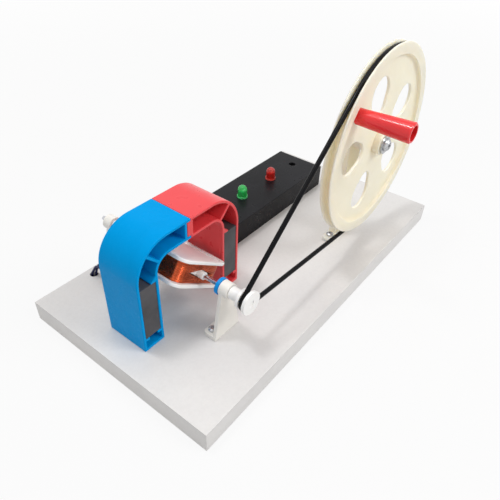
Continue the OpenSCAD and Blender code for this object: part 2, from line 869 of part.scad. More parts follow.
module coil_winding() {
    echo(least_gap_of_winding = least_gap(winding_path));
    color("peru") at_rotor() tube(winding_path, wire_d / 2, 6, [0, 0, 1]);
}

module thrust_ring() {
    color("royalblue") at_shaft() difference() {
        rod(ring_d / 2, ring_front, ring_front + ring_t);
        rod(shaft_bore_r, ring_front - cut, ring_front + ring_t + cut);
    }
}

// Commutator and brushes

module commutator_sleeve() {
    color("linen") at_shaft() difference() {
        rod(sleeve_r, sleeve_front, sleeve_rear);
        rod(shaft_bore_r, sleeve_front - cut, sleeve_rear + cut);
    }
}

module commutator_segments() {
    riser_t = 1.5;
    color("darkorange") at_rotor() translate([0, -arch_mid_y, 0]) difference() {
        union() {
            rod(segment_r, segment_front, segment_front + segment_l);
            rod(riser_r, segment_front, segment_front + riser_t);
        }
        rod(sleeve_r + slip, segment_front - cut, segment_front + segment_l + cut);
        translate([-riser_r - cut, segment_front - cut, -segment_gap / 2])
            cube([2 * riser_r + 2 * cut, segment_l + 2 * cut, segment_gap]);
    }
}

module at_terminals() {
    for (side = [-1, 1]) translate([shaft_x + side * terminal_x, brush_mid, 0]) children();
}

module brush_block() {
    color("dimgray") difference() {
        translate([shaft_x - block_l / 2, block_front, base_top]) cube([block_l, block_d, block_h]);
        at_terminals() translate([0, 0, base_top - cut]) cylinder(h = block_h + 2 * cut, r = screw_bore_r);
    }
}

module spring_brushes() {
    top = shaft_h + brush_over;
    color("goldenrod") for (side = [0, 1])
        translate([shaft_x, brush_mid - brush_w / 2, base_top + block_h]) mirror([side, 0, 0]) difference() {
            union() {
                translate([brush_x, 0, 0]) cube([brush_t, brush_w, top - block_h]);
                translate([brush_x, 0, 0]) cube([brush_foot, brush_w, brush_t]);
            }
            translate([terminal_x, brush_w / 2, -cut]) cylinder(h = brush_t + 2 * cut, r = screw_bore_r);
        }
}

module terminal_screws() {
    color("gold") at_terminals() translate([0, 0, base_top + block_h + brush_t])
        pan_screw(screw_d, block_h + brush_t + 5, screw_head_d, screw_head_t);
}

// Pulley and belt

// Outline that cuts a round-bottomed belt groove around a disc
module groove_outline(run_r, out_r) {
    translate([run_r, 0]) circle(flare_r);
    translate([run_r, -flare_r]) square([out_r - run_r + cut, 2 * flare_r]);
}

module driven_pulley() {
    color("white") at_shaft() difference() {
        union() {
            translate([0, belt_y, 0]) turned() difference() {
                union() {
                    translate([0, -pulley_t / 2]) square([pulley_r, pulley_t / 2]);
                    translate([0, -cut]) square([pulley_rear_r, pulley_t / 2 + cut]);
                }
                groove_outline(pulley_run_r, pulley_r);
            }
            rod(hub_d / 2, pulley_back - cut, hub_end);
        }
        rod(shaft_bore_r, shaft_front - end_gap, hub_end + cut);
        rod(dimple_r, pulley_front - cut, pulley_front + dimple_deep);
    }
}

// Belt path: an open loop that is tangent to the wheel and the pulley
belt_dx = wheel_x - shaft_x;
belt_dz = wheel_z - shaft_z;
belt_span = norm([belt_dx, belt_dz]);
belt_aim = atan2(belt_dz, belt_dx);
belt_lean = acos((wheel_run_r - pulley_run_r) / belt_span);
wheel_steps = 44;
pulley_steps = 14;
function arc(c, r, a0, a1, steps) =
    [for (i = [0 : steps]) let (a = a0 + (a1 - a0) * i / steps)
        [c[0] + r * cos(a), belt_y, c[1] + r * sin(a)]];
belt_off = belt_aim + 180;
belt_path = concat(
    arc([wheel_x, wheel_z], wheel_run_r, belt_off + belt_lean - 360, belt_off - belt_lean, wheel_steps),
    arc([shaft_x, shaft_z], pulley_run_r, belt_off - belt_lean, belt_off + belt_lean, pulley_steps)
);

module drive_belt() {
    color("black") tube(belt_path, belt_d / 2, 8, [0, 1, 0], true);
}

// Crank wheel

module wheel_profile() {
    bore = wheel_bush_d / 2 + slip;
    mouth = flare_r + (groove_mouth / 2 - flare_r) * (1 + cut / belt_sink);
    difference() {
        union() {
            translate([bore, -web_t / 2]) square([rim_in + 1 - bore, web_t]);
            translate([rim_in, -wheel_t / 2]) square([rim_w, wheel_t]);
            translate([bore, -wheel_t / 2 - hub_out])
                square([wheel_hub_d / 2 - bore, wheel_t + hub_out + hub_back]);
            for (side = [-1, 1]) rim_corner(side);
        }
        groove_outline(wheel_run_r, wheel_r);
        polygon([
            [wheel_run_r, -flare_r], [wheel_r + cut, -mouth], [wheel_r + cut, mouth], [wheel_run_r, flare_r]
        ]);
    }
}

// Fillet between web and rim on one face of the wheel
module rim_corner(side) {
    y = side * web_t / 2;
    difference() {
        translate([rim_in - rim_fillet, min(y, y + side * rim_fillet)])
            square([rim_fillet + 0.5, rim_fillet]);
        translate([rim_in - rim_fillet, y + side * rim_fillet]) circle(rim_fillet);
    }
}

module crank_wheel() {
    color("cornsilk") difference() {
        at_wheel() translate([0, belt_y, 0]) turned() wheel_profile();
        at_wheel() deep(web_front - cut, web_back + cut) for (i = [0 : hole_count - 1])
            rotate(180 + wheel_turn + i * 360 / hole_count) egg(hole_far, hole_r1, hole_near, hole_r2);
        translate([handle_x, 0, handle_z]) rod(pin_d / 2 + slip, web_front - cut, web_back + cut);
    }
}

module wheel_bush() {
    color("peru") at_wheel() difference() {
        rod(wheel_bush_d / 2, hub_front, hub_rear);
        rod(axle_bore_r, hub_front - cut, hub_rear + cut);
    }
}

module wheel_axle() {
    color("silver") at_wheel() difference() {
        union() {
            translate([0, head_back, 0]) turned() polygon([
                [0, 0], [axle_head_d / 2, 0], [axle_head_d / 2, -axle_head_t * 0.5],
                [axle_head_d * 0.34, -axle_head_t], [0, -axle_head_t]
            ]);
            rod(axle_d / 2, head_back, stand_post_back + washer_t + axle_nut_t + axle_tail);
        }
        for (turn = [20, 110]) rotate([0, turn, 0])
            translate([-cross_l / 2, head_back - axle_head_t - cut, -cross_w / 2])
                cube([cross_l, cross_deep + cut, cross_w]);
    }
}

module washer(y0) {
    difference() {
        rod(washer_d / 2, y0, y0 + washer_t);
        rod(axle_d / 2 + slip, y0 - cut, y0 + washer_t + cut);
    }
}

module axle_washers() {
    color("lightgray") at_wheel() {
        washer(head_back);
        washer(stand_post_back);
    }
}

module hex_nut(d, bore_r, y0, t) {
    difference() {
        translate([0, y0 + t, 0]) rotate([90, 0, 0]) cylinder(h = t, d = d, $fn = 6);
        rod(bore_r, y0 - cut, y0 + t + cut);
    }
}

module axle_nut() {
    color("silver") at_wheel()
        hex_nut(axle_nut_d, axle_d / 2 + slip, stand_post_back + washer_t, axle_nut_t);
}

module wheel_stand() {
    half = stand_w / 2;
    top = stand_boss_d / 2 - 0.1;
    color("cornsilk") translate([wheel_x, 0, base_top]) difference() {
        union() {
            deep(stand_post_front, stand_post_back)
                polygon([[-half, 0], [half, 0], [top, wheel_h], [-top, wheel_h]]);
            translate([0, 0, wheel_h]) rod(stand_boss_d / 2, stand_boss_front, stand_post_back);
            translate([0, stand_front + stand_foot_d / 2, 0]) linear_extrude(foot_t)
                round_rect(stand_foot_l, stand_foot_d, foot_round);
        }
        translate([0, 0, wheel_h]) rod(axle_d / 2 + slip, stand_boss_front - cut, stand_post_back + cut);
        for (side = [-1, 1])
            translate([side * stand_screw_gap / 2, stand_front + stand_foot_d / 2, -cut])
                cylinder(h = foot_t + 2 * cut, r = screw_bore_r);
    }
}

// Handle

module crank_handle() {
    r1 = handle_d1 / 2;
    r2 = handle_d2 / 2;
    bore = pin_d / 2 + run_gap;
    color("crimson") translate([handle_x, handle_near, handle_z]) turned() polygon([
        [bore, 0], [r1 - handle_lip, 0], [r1, -handle_lip], [r2, -handle_l + handle_lip],
        [r2 - handle_lip, -handle_l], [r2 - handle_wall, -handle_l],
        [r1 - handle_wall, -handle_floor], [bore, -handle_floor]
    ]);
}

module handle_pin() {
    floor_y = handle_near - handle_floor - end_gap;
    color("silver") translate([handle_x, 0, handle_z]) difference() {
        union() {
            rod(pin_d / 2, floor_y, web_back + pin_nut_t + pin_tail);
            rod(pin_head_d / 2, floor_y - pin_head_t, floor_y);
        }
        for (turn = [0, 90]) rotate([0, turn, 0])
            translate([-cross_l / 2, floor_y - pin_head_t - cut, -cross_w / 2])
                cube([cross_l, cross_deep + cut, cross_w]);
    }
}

module handle_nut() {
    color("silver") translate([handle_x, 0, handle_z])
        hex_nut(pin_nut_d, pin_d / 2 + slip, web_back, pin_nut_t);
}

// Light box

module at_box(z) {
    translate([box_x, box_y, z]) children();
}

module at_lamps() {
    for (side = [-1, 1]) translate([side * lamp_gap / 2, 0, 0]) children();
}

module at_lamp_legs() {
    at_lamps() for (leg = [-1, 1]) translate([leg * leg_gap / 2, 0, 0]) children();
}

module at_board_posts() {
    for (sx = [-1, 1], sy = [-1, 1]) translate([sx * board_post_x, sy * board_post_y, 0]) children();
}

module at_box_screws() {
    for (side = [-1, 1]) translate([box_x + side * box_screw_gap / 2, box_y, base_top]) children();
}

module light_box() {
    inner_h = box_h - box_top;
    board_top = board_z + board_t - base_top;
    color("#303036") at_box(base_top) difference() {
        union() {
            difference() {
                linear_extrude(box_h) round_rect(box_l, box_w, box_round);
                translate([0, 0, -cut]) linear_extrude(inner_h + cut)
                    square([box_l - 2 * box_wall, box_w - 2 * box_wall], center = true);
            }
            for (side = [-1, 1]) translate([side * box_screw_gap / 2, 0, 0])
                cylinder(h = inner_h + 0.5, d = box_post_d);
            at_board_posts() translate([0, 0, board_top])
                cylinder(h = inner_h - board_top + 0.5, d = board_post_d);
        }
        for (side = [-1, 1]) translate([side * box_screw_gap / 2, 0, 0]) {
            translate([0, 0, -cut]) cylinder(h = box_h, r = screw_bore_r);
            translate([0, 0, well_floor]) cylinder(h = box_h, d = well_d);
        }
        at_board_posts() translate([0, 0, board_top - cut])
            cylinder(h = board_screw_l + cut, r = board_screw_d / 2 + run_gap);
        at_lamp_legs() translate([0, 0, inner_h - cut]) cylinder(h = box_top + 2 * cut, d = leg_hole_d);
    }
}

module box_screws() {
    color("silver") at_box_screws() translate([0, 0, well_floor])
        pan_screw(screw_d, well_floor + screw_len - 1, screw_head_d, screw_head_t);
}

module circuit_board() {
    color("darkgreen") at_box(board_z) difference() {
        translate([-board_l / 2, -board_w / 2, 0]) cube([board_l, board_w, board_t]);
        at_board_posts() translate([0, 0, -cut])
            cylinder(h = board_t + 2 * cut, r = board_screw_d / 2 + run_gap);
    }
}

module board_screws() {
    color("silver") at_box(board_z) at_board_posts() mirror([0, 0, 1]) {
        cylinder(h = board_head_t, d = board_head_d);
        translate([0, 0, -board_t - board_screw_l + cut])
            cylinder(h = board_t + board_screw_l - cut, d = board_screw_d);
    }
}

module resistor() {
    lift = resistor_d / 2 + resistor_lift;
    color("tan") at_box(board_z + board_t) {
        translate([-resistor_l / 2, 0, lift]) rotate([0, 90, 0]) cylinder(h = resistor_l, d = resistor_d);
        translate([-resistor_span / 2, 0, lift]) rotate([0, 90, 0]) cylinder(h = resistor_span, d = leg_d);
        for (side = [-1, 1]) translate([side * resistor_span / 2, 0, 0])
            cylinder(h = lift + leg_d / 2, d = leg_d);
    }
}

module lamp(side) {
    r = lamp_d / 2;
    at_box(box_roof) translate([side * lamp_gap / 2, 0, 0]) rotate_extrude() {
        square([r + lamp_rim, lamp_rim_t]);
        square([r, lamp_h - r]);
        intersection() {
            translate([0, lamp_h - r]) circle(r);
            translate([0, lamp_h - r - 0.5]) square([r, r + 1]);
        }
    }
}

module green_lamp() {
    color("forestgreen") lamp(-1);
}

module red_lamp() {
    color("red") lamp(1);
}

module lamp_legs() {
    top = board_z + board_t;
    color("silver") at_box(top) at_lamp_legs() cylinder(h = box_roof - top, d = leg_d);
}

// Leads

module lead(route) {
    color("midnightblue") tube(route, lead_d / 2, 8, [0.31, 0.24, 0.92]);
}

module lead_left() {
    lead(lead_a_route);
}

module lead_right() {
    lead(lead_b_route);
}

base_board();
magnet_housing_blue();
magnet_housing_red();
ferrite_magnet_blue();
ferrite_magnet_red();
housing_screws();
front_bracket();
rear_bracket();
front_bush();
rear_bush();
bracket_screws();
rotor_shaft();
rotor_bobbin();
rotor_core();
coil_body();
coil_winding();
thrust_ring();
driven_pulley();
drive_belt();
commutator_sleeve();
commutator_segments();
brush_block();
spring_brushes();
terminal_screws();
crank_wheel();
wheel_bush();
wheel_axle();
axle_washers();
axle_nut();
wheel_stand();
crank_handle();
handle_pin();
handle_nut();
light_box();
box_screws();
circuit_board();
board_screws();
resistor();
green_lamp();
red_lamp();
lamp_legs();
lead_left();
lead_right();
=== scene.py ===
"""Hand crank generator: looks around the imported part. Metres, +Z up, origin under the board's middle."""
import json
import math

import bmesh
import bpy
import numpy as np
from mathutils import Matrix, Vector


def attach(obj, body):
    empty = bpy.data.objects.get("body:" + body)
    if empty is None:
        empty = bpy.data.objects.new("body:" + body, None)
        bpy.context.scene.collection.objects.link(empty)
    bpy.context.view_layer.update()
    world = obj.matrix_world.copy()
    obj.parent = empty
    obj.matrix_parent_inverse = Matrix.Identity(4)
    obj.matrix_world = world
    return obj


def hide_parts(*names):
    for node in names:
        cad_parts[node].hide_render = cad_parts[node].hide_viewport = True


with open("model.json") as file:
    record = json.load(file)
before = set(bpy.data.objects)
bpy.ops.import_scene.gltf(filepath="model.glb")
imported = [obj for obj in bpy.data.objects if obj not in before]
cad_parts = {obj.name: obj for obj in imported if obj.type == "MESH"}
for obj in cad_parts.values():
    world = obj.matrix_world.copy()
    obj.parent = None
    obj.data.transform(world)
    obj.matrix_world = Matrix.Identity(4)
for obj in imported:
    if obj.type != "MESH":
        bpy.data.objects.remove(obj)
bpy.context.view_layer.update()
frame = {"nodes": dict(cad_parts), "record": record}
nodes = frame["nodes"]
scene = bpy.context.scene
scene.view_settings.view_transform = "Standard"
MM = 0.001

# Sizes shared with the part's source, in millimetres and degrees
BASE_TOP = 16.0
SHAFT_X, SHAFT_Z = -85.0, 54.0
WHEEL_X, WHEEL_Z = 64.0, 103.5
BELT_Y, BELT_R = -55.0, 1.6
WHEEL_RUN, PULLEY_RUN = 66.9, 5.4
ROTOR_Y, REST_TURN = 4.7, 35.0
BOX_X, BOX_Y, BOX_ROOF = 47.2, 38.0, 35.0
LAMP_GAP, LAMP_RIM = 40.4, 36.2


# Camera at the photograph's viewing angle: its place in millimetres, the ways ahead and right, the lens
# and its sensor in millimetres, and the clip distances in metres

CAMERA_AT = (-256.4, -183.4, 264.3)
CAMERA_AHEAD = (0.6268, 0.4661, -0.6244)
CAMERA_RIGHT = (0.6177, -0.7857, 0.0336)
LENS, SENSOR = 35.75, 36.0
CLIP_NEAR, CLIP_FAR = 0.01, 20.0


def make_camera():
    ahead = Vector(CAMERA_AHEAD).normalized()
    right = Vector(CAMERA_RIGHT)
    right = (right - ahead * right.dot(ahead)).normalized()
    up = right.cross(ahead)
    data = bpy.data.cameras.new("camera")
    data.lens, data.sensor_width = LENS, SENSOR
    data.clip_start, data.clip_end = CLIP_NEAR, CLIP_FAR
    cam = bpy.data.objects.new("camera", data)
    place = Matrix((right, up, -ahead)).transposed().to_4x4()
    place.translation = Vector(CAMERA_AT) * MM
    cam.matrix_world = place
    scene.collection.objects.link(cam)
    scene.camera = cam


make_camera()


# Node helpers

def srgb(r, g, b, k=1.0):
    """A colour of 0 to 255 steps, times k, as the linear colour that a shader takes."""
    out = []
    for c in (r, g, b):
        c = c / 255.0
        c = c / 12.92 if c <= 0.04045 else ((c + 0.055) / 1.055) ** 2.4
        out.append(min(1.0, c * k))
    return (*out, 1.0)


class Net:
    """A material's node tree with short calls for the nodes that this scene uses."""

    def __init__(self, name):
        self.mat = bpy.data.materials.new(name)
        self.mat.use_nodes = True
        self.tree = self.mat.node_tree
        self.bsdf = self.tree.nodes["Principled BSDF"]
        self.coord = self.tree.nodes.new("ShaderNodeTexCoord").outputs["Object"]

    def node(self, kind, **props):
        n = self.tree.nodes.new(kind)
        for k, v in props.items():
            setattr(n, k, v)
        return n

    def link(self, a, b):
        self.tree.links.new(a, b)

    def stretched(self, scale, turn=0.0):
        """Object coordinates, turned about Y by some degrees and then scaled along each axis."""
        n = self.node("ShaderNodeMapping", vector_type="TEXTURE")
        n.inputs["Rotation"].default_value = (0.0, math.radians(turn), 0.0)
        n.inputs["Scale"].default_value = [1.0 / k for k in scale]
        self.link(self.coord, n.inputs["Vector"])
        return n.outputs["Vector"]

    def height(self):
        """The height above the underside of the board."""
        n = self.node("ShaderNodeSeparateXYZ")
        self.link(self.coord, n.inputs[0])
        return n.outputs["Z"]

    def noise(self, scale, detail=3.0, rough=0.5, vector=None, stretch=0.0):
        n = self.node("ShaderNodeTexNoise")
        n.inputs["Scale"].default_value = scale
        n.inputs["Detail"].default_value = detail
        n.inputs["Roughness"].default_value = rough
        n.inputs["Distortion"].default_value = stretch
        self.link(vector or self.coord, n.inputs["Vector"])
        return n.outputs["Fac"]

    def span(self, value, lo, hi, a=0.35, b=0.65):
        """The value's run from a to b, mapped to lo to hi and held there beyond."""
        n = self.node("ShaderNodeMapRange", clamp=True)
        n.inputs["From Min"].default_value, n.inputs["From Max"].default_value = a, b
        n.inputs["To Min"].default_value, n.inputs["To Max"].default_value = lo, hi
        self.link(value, n.inputs["Value"])
        return n.outputs["Result"]

    def mix(self, fac, a, b):
        """A colour between a and b."""
        n = self.node("ShaderNodeMix", data_type="RGBA")
        for key, v in ((0, fac), (6, a), (7, b)):
            if hasattr(v, "is_output"):
                self.link(v, n.inputs[key])
            else:
                n.inputs[key].default_value = v
        return n.outputs[2]

    def bump(self, height, strength, depth, normal=None):
        """A normal with relief of the given depth in millimetres."""
        n = self.node("ShaderNodeBump")
        n.inputs["Strength"].default_value = strength
        n.inputs["Distance"].default_value = depth * MM
        self.link(height, n.inputs["Height"])
        if normal is not None:
            self.link(normal, n.inputs["Normal"])
        return n.outputs["Normal"]

    def edges(self, radius):
        """A normal that looks rounded at edges, with the radius in millimetres."""
        n = self.node("ShaderNodeBevel", samples=6)
        n.inputs["Radius"].default_value = radius * MM
        return n.outputs["Normal"]

    def set(self, **values):
        for k, v in values.items():
            self.bsdf.inputs[k.replace("_", " ")].default_value = v

    def to(self, socket, output):
        self.link(output, self.bsdf.inputs[socket])


# Materials. Colours are in 0 to 255 steps, and a noise's first number is its cells per metre.

SOFT_REACH = (1.0, 0.92, 0.75)
DRAWN_LINES, METAL_TINT = (900.0, 60.0, 900.0), 0.75
WIRE_STREAKS = (30.0, 30.0, 1500.0)
CIRCUIT_TRACKS = (300.0, 60.0, 20.0)
GLUE_LINE, GLUE_HALF, GLUE_SHARE = BASE_TOP - 0.55, 0.12, 0.3
DOME_CLEAR, RIM_CLEAR = 0.55, 0.25


def plastic(name, rgb, rough=0.35, vary=0.06, grain=0.05, soft=0.0, depth=3.0, shade=0.9, shine=0.5):
    """Moulded plastic: faint flow marks in the colour, fine skin grain, uneven gloss."""
    net = Net(name)
    flow = net.noise(38.0, 4.0, 0.55, stretch=1.2)
    net.to("Base Color", net.mix(net.span(flow, 0.0, 1.0), srgb(*rgb, k=shade), srgb(*rgb)))
    net.to("Roughness", net.span(net.noise(160.0, 3.0), rough - vary, rough + vary))
    net.to("Normal", net.bump(net.noise(2600.0, 2.0), grain, 0.04))
    net.set(IOR=1.49, Specular_IOR_Level=shine)
    if soft:
        net.set(Subsurface_Weight=soft, Subsurface_Radius=SOFT_REACH, Subsurface_Scale=depth * MM)
    return net.mat


def metal(name, rgb, rough, lines=0.06):
    """Bare or plated metal: drawn lines along Y, patchy polish."""
    net = Net(name)
    drawn = net.noise(1.0, 2.0, vector=net.stretched(DRAWN_LINES))
    patch = net.noise(320.0, 4.0)
    net.to("Base Color", net.mix(net.span(patch, 0.0, 1.0), srgb(*rgb, k=METAL_TINT), srgb(*rgb)))
    net.to("Roughness", net.span(drawn, rough - 0.07, rough + 0.1))
    net.to("Normal", net.bump(drawn, lines, 0.03, net.edges(0.2)))
    net.set(Metallic=1.0)
    return net.mat


def board_material():
    """White faced board: faint mottle on the faces, edge strips with their glue line just below the top."""
    net = Net("white_board")
    mottle = net.noise(420.0, 5.0, 0.65)
    cloud = net.noise(14.0, 3.0)
    colour = net.mix(net.span(cloud, 0.0, 1.0), srgb(217, 215, 214), srgb(224, 222, 220))
    colour = net.mix(net.span(mottle, 0.0, 0.22, 0.4, 0.8), colour, srgb(196, 193, 192))
    line = net.node("ShaderNodeMath", operation="COMPARE")
    line.inputs[1].default_value, line.inputs[2].default_value = GLUE_LINE * MM, GLUE_HALF * MM
    net.link(net.height(), line.inputs[0])
    fade = net.node("ShaderNodeMath", operation="MULTIPLY")
    fade.inputs[1].default_value = GLUE_SHARE
    net.link(line.outputs[0], fade.inputs[0])
    net.to("Base Color", net.mix(fade.outputs[0], colour, srgb(150, 148, 146)))
    net.to("Roughness", net.span(net.noise(90.0, 4.0), 0.34, 0.46))
    net.to("Normal", net.bump(net.noise(1500.0, 3.0), 0.06, 0.05, net.edges(0.4)))
    return net.mat


def ferrite_material():
    """Sintered magnet: grey-black, granular, with a slight ground sheen."""
    net = Net("ferrite")
    grain = net.noise(1800.0, 4.0, 0.7)
    cloud = net.noise(60.0, 3.0)
    colour = net.mix(net.span(cloud, 0.0, 1.0), srgb(58, 58, 61), srgb(78, 78, 82))
    net.to("Base Color", net.mix(net.span(grain, 0.0, 0.5, 0.55, 0.8), colour, srgb(120, 120, 124)))
    net.to("Roughness", net.span(grain, 0.48, 0.68))
    net.to("Normal", net.bump(grain, 0.25, 0.06, net.edges(0.5)))
    return net.mat


def box_material():
    """Charcoal moulding with a fine spark-eroded skin."""
    net = Net("charcoal_plastic")
    grain = net.noise(1700.0, 4.0, 0.6)
    cloud = net.noise(26.0, 4.0)
    colour = net.mix(net.span(cloud, 0.0, 1.0), srgb(22, 22, 25), srgb(29, 29, 33))
    net.to("Base Color", net.mix(net.span(grain, 0.0, 0.35, 0.55, 0.8), colour, srgb(60, 60, 65)))
    net.to("Roughness", net.span(net.noise(120.0, 3.0), 0.26, 0.36))
    net.to("Normal", net.bump(grain, 0.1, 0.04, net.edges(0.6)))
    net.set(Specular_IOR_Level=0.11)
    return net.mat


def copper_material(name, lit, dark, rough):
    """Enamelled copper wire: lacquer over metal, streaked along the turns between a lit and a dark tone,
    which is painted sheen.
    """
    net = Net(name)
    sheen_streak = net.noise(1.0, 2.0, vector=net.stretched(WIRE_STREAKS, REST_TURN))
    patch = net.noise(90.0, 3.0)
    # Painted sheen: the lit and dark tones are streaked along the turns.
    colour = net.mix(net.span(sheen_streak, 0.0, 1.0), srgb(*dark), srgb(*lit))
    net.to("Base Color", net.mix(net.span(patch, 0.0, 0.25), colour, srgb(216, 112, 64)))
    net.to("Roughness", net.span(patch, rough - 0.06, rough + 0.08))
    net.to("Normal", net.bump(net.noise(5200.0, 2.0), 0.08, 0.02))
    net.set(Metallic=0.92, Coat_Weight=0.35, Coat_Roughness=0.14)
    return net.mat


def rubber(name, rgb, rough, pits=0.2, dusty=22, shine=0.5):
    """Rubber or soft insulation: matt skin with fine pits and dusty patches."""
    net = Net(name)
    skin = net.noise(3200.0, 3.0, 0.6)
    dust = net.noise(150.0, 5.0, 0.6)
    net.to("Base Color", net.mix(net.span(dust, 0.0, 0.4), srgb(*rgb), srgb(*[c + dusty for c in rgb])))
    net.to("Roughness", net.span(dust, rough - 0.06, rough + 0.08))
    net.to("Normal", net.bump(skin, pits, 0.04))
    net.set(Specular_IOR_Level=shine)
    return net.mat


def resin(name, rgb, deep, lit):
    """Clear tinted lamp resin, a little cloudy; the rim's lighter colour is painted light, standing for light
    gathered in the rim.
    """
    net = Net(name)
    cloud = net.noise(420.0, 3.0)
    rim = net.span(net.height(), 1.0, 0.0, (LAMP_RIM - 0.2) * MM, (LAMP_RIM + 0.4) * MM)
    colour = net.mix(net.span(cloud, 0.0, 1.0), srgb(*deep), srgb(*rgb))
    # Painted light: the rim is mixed towards the lighter lit colour.
    net.to("Base Color", net.mix(rim, colour, srgb(*lit)))
    net.to("Roughness", net.span(cloud, 0.03, 0.08))
    net.to("Normal", net.bump(net.noise(900.0, 2.0), 0.02, 0.03, net.edges(0.3)))
    net.to("Transmission Weight", net.span(rim, DOME_CLEAR, RIM_CLEAR, 0.0, 1.0))
    net.set(IOR=1.5)
    return net.mat


def circuit_material():
    """Circuit board: green lacquer with paler tracks under it."""
    net = Net("board_green")
    tracks = net.noise(1.0, 1.0, vector=net.stretched(CIRCUIT_TRACKS))
    net.to("Base Color", net.mix(net.span(tracks, 0.0, 1.0, 0.48, 0.52), srgb(16, 92, 46), srgb(26, 122, 62)))
    net.to("Roughness", net.span(net.noise(300.0), 0.28, 0.4))
    net.to("Normal", net.bump(tracks, 0.2, 0.04))
    return net.mat


MATS = {
    "white_board": board_material(),
    "blue_plastic": plastic("blue_plastic", (0, 153, 223), rough=0.26, shine=0.03, shade=0.96),
    "red_plastic": plastic("red_plastic", (229, 66, 71), rough=0.3, vary=0.03, grain=0.03, shade=0.975),
    "ferrite": ferrite_material(),
    "steel": metal("steel", (196, 197, 200), 0.3),
    "bright_steel": metal("bright_steel", (214, 215, 220), 0.16, lines=0.03),
    "iron": metal("iron", (120, 120, 124), 0.5),
    "ivory_plastic": plastic("ivory_plastic", (243, 240, 233), rough=0.4, soft=0.08, shade=0.96),
    "cream_plastic": plastic("cream_plastic", (248, 237, 214), rough=0.36, soft=0.85, depth=5.0, shade=0.97),
    "white_plastic": plastic("white_plastic", (251, 250, 248), rough=0.36, soft=0.08, shade=0.97),
    "brass": metal("brass", (205, 170, 95), 0.3),
    "bronze": metal("bronze", (196, 140, 88), 0.32),
    # Copper's lit and dark tones are painted sheen streaked along the turns.
    "copper": copper_material("copper", (230, 108, 58), (186, 76, 38), 0.22),
    # copper_dark is painted shade: a darker copy of copper for the inner turns that lie under the outer
    # layer.
    "copper_dark": copper_material("copper_dark", (120, 58, 32), (84, 38, 20), 0.42),
    "ring_blue": plastic("ring_blue", (4, 150, 232), rough=0.3, shine=0.25),
    "belt_rubber": rubber("belt_rubber", (7, 7, 10), 0.26, dusty=4, shine=0.12),
    "black_plastic": plastic("black_plastic", (44, 44, 46), rough=0.45),
    "handle_red": plastic("handle_red", (234, 46, 50), rough=0.11, vary=0.02, shine=0.45, shade=0.95),
    "charcoal_plastic": box_material(),
    "board_green": circuit_material(),
    "resistor_tan": plastic("resistor_tan", (202, 178, 138), rough=0.4),
    # Each lamp's last colour is painted light for its rim.
    "lamp_green": resin("lamp_green", (82, 252, 138), (54, 238, 110), (110, 255, 162)),
    "lamp_red": resin("lamp_red", (255, 62, 50), (246, 40, 34), (255, 96, 84)),
    # Painted light: the stand's plastic is a lighter cream than the wheel's, so its post in the wheel's
    # shadow looks lit.
    "stand_plastic_painted_light": plastic("stand_plastic_painted_light", (252, 243, 224), rough=0.4, soft=0.85, depth=6.0, shade=0.98),
    "lead_navy": rubber("lead_navy", (16, 20, 66), 0.36, pits=0.08, shine=0.2),
}


def wear(obj, mat):
    obj.data.materials.clear()
    obj.data.materials.append(mat)


SLOT_OF = {entry["node"]: entry["material_slot"] for entry in frame["record"]["subparts"]}
BODY_OF = {n: body for body, group in frame["record"]["behaviour"]["bodies"].items() for n in group}
for node_name, slot_name in SLOT_OF.items():
    wear(nodes[node_name], MATS[slot_name])


# Mesh helpers

def piece(name, verts, faces, body, slot):
    """A smooth mesh piece in the shared frame that rides on a body."""
    mesh = bpy.data.meshes.new(name)
    mesh.from_pydata([tuple(float(c) for c in v) for v in verts], [], faces)
    bm = bmesh.new()
    bm.from_mesh(mesh)
    bmesh.ops.recalc_face_normals(bm, faces=bm.faces[:])
    bm.to_mesh(mesh)
    bm.free()
    mesh.polygons.foreach_set("use_smooth", [True] * len(mesh.polygons))
    obj = bpy.data.objects.new(name, mesh)
    scene.collection.objects.link(obj)
    wear(obj, MATS[slot])
    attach(obj, body)
    return obj


def tube(path, radius, sides, closed=False, axis=(0.31, 0.24, 0.92)):
    """Vertices and faces of a round tube, flat-ended if open, along a path that never runs along axis."""
    p = np.asarray(path, float)
    n = len(p)
    ahead = np.roll(p, -1, 0) - np.roll(p, 1, 0)
    if not closed:
        ahead[0], ahead[-1] = p[1] - p[0], p[-1] - p[-2]
    ahead /= np.linalg.norm(ahead, axis=1)[:, None]
    side = np.cross(ahead, np.asarray(axis, float))
    side /= np.linalg.norm(side, axis=1)[:, None]
    lift = np.cross(side, ahead)
    turn = np.arange(sides) * 2 * math.pi / sides
    side_part = np.cos(turn)[None, :, None] * side[:, None]
    lift_part = np.sin(turn)[None, :, None] * lift[:, None]
    rings = p[:, None] + radius * (side_part + lift_part)
    faces = []
    for i in range(n if closed else n - 1):
        a, b = i * sides, (i + 1) % n * sides
        faces += [(a + k, a + (k + 1) % sides, b + (k + 1) % sides, b + k) for k in range(sides)]
    if not closed:
        faces += [tuple(range(sides)), tuple(range((n - 1) * sides, n * sides))]
    return rings.reshape(-1, 3), faces


def smooth_path(points, steps=6):
    """A Catmull-Rom curve through the points."""
    p = np.asarray(points, float)
    p = np.vstack([2 * p[0] - p[1], p, 2 * p[-1] - p[-2]])
    out = []
    for i in range(1, len(p) - 2):
        a, b, c, d = p[i - 1], p[i], p[i + 1], p[i + 2]
        for t in (s / steps for s in range(steps)):
            bend = (2 * a - 5 * b + 4 * c - d) * t * t
            twist = (3 * b - a - 3 * c + d) * t ** 3
            out.append(0.5 * (2 * b + (c - a) * t + bend + twist))
    out.append(p[-2])
    return np.array(out)


# Mouldings: nodes whose outer edges are rounded, with the width in millimetres and the steps

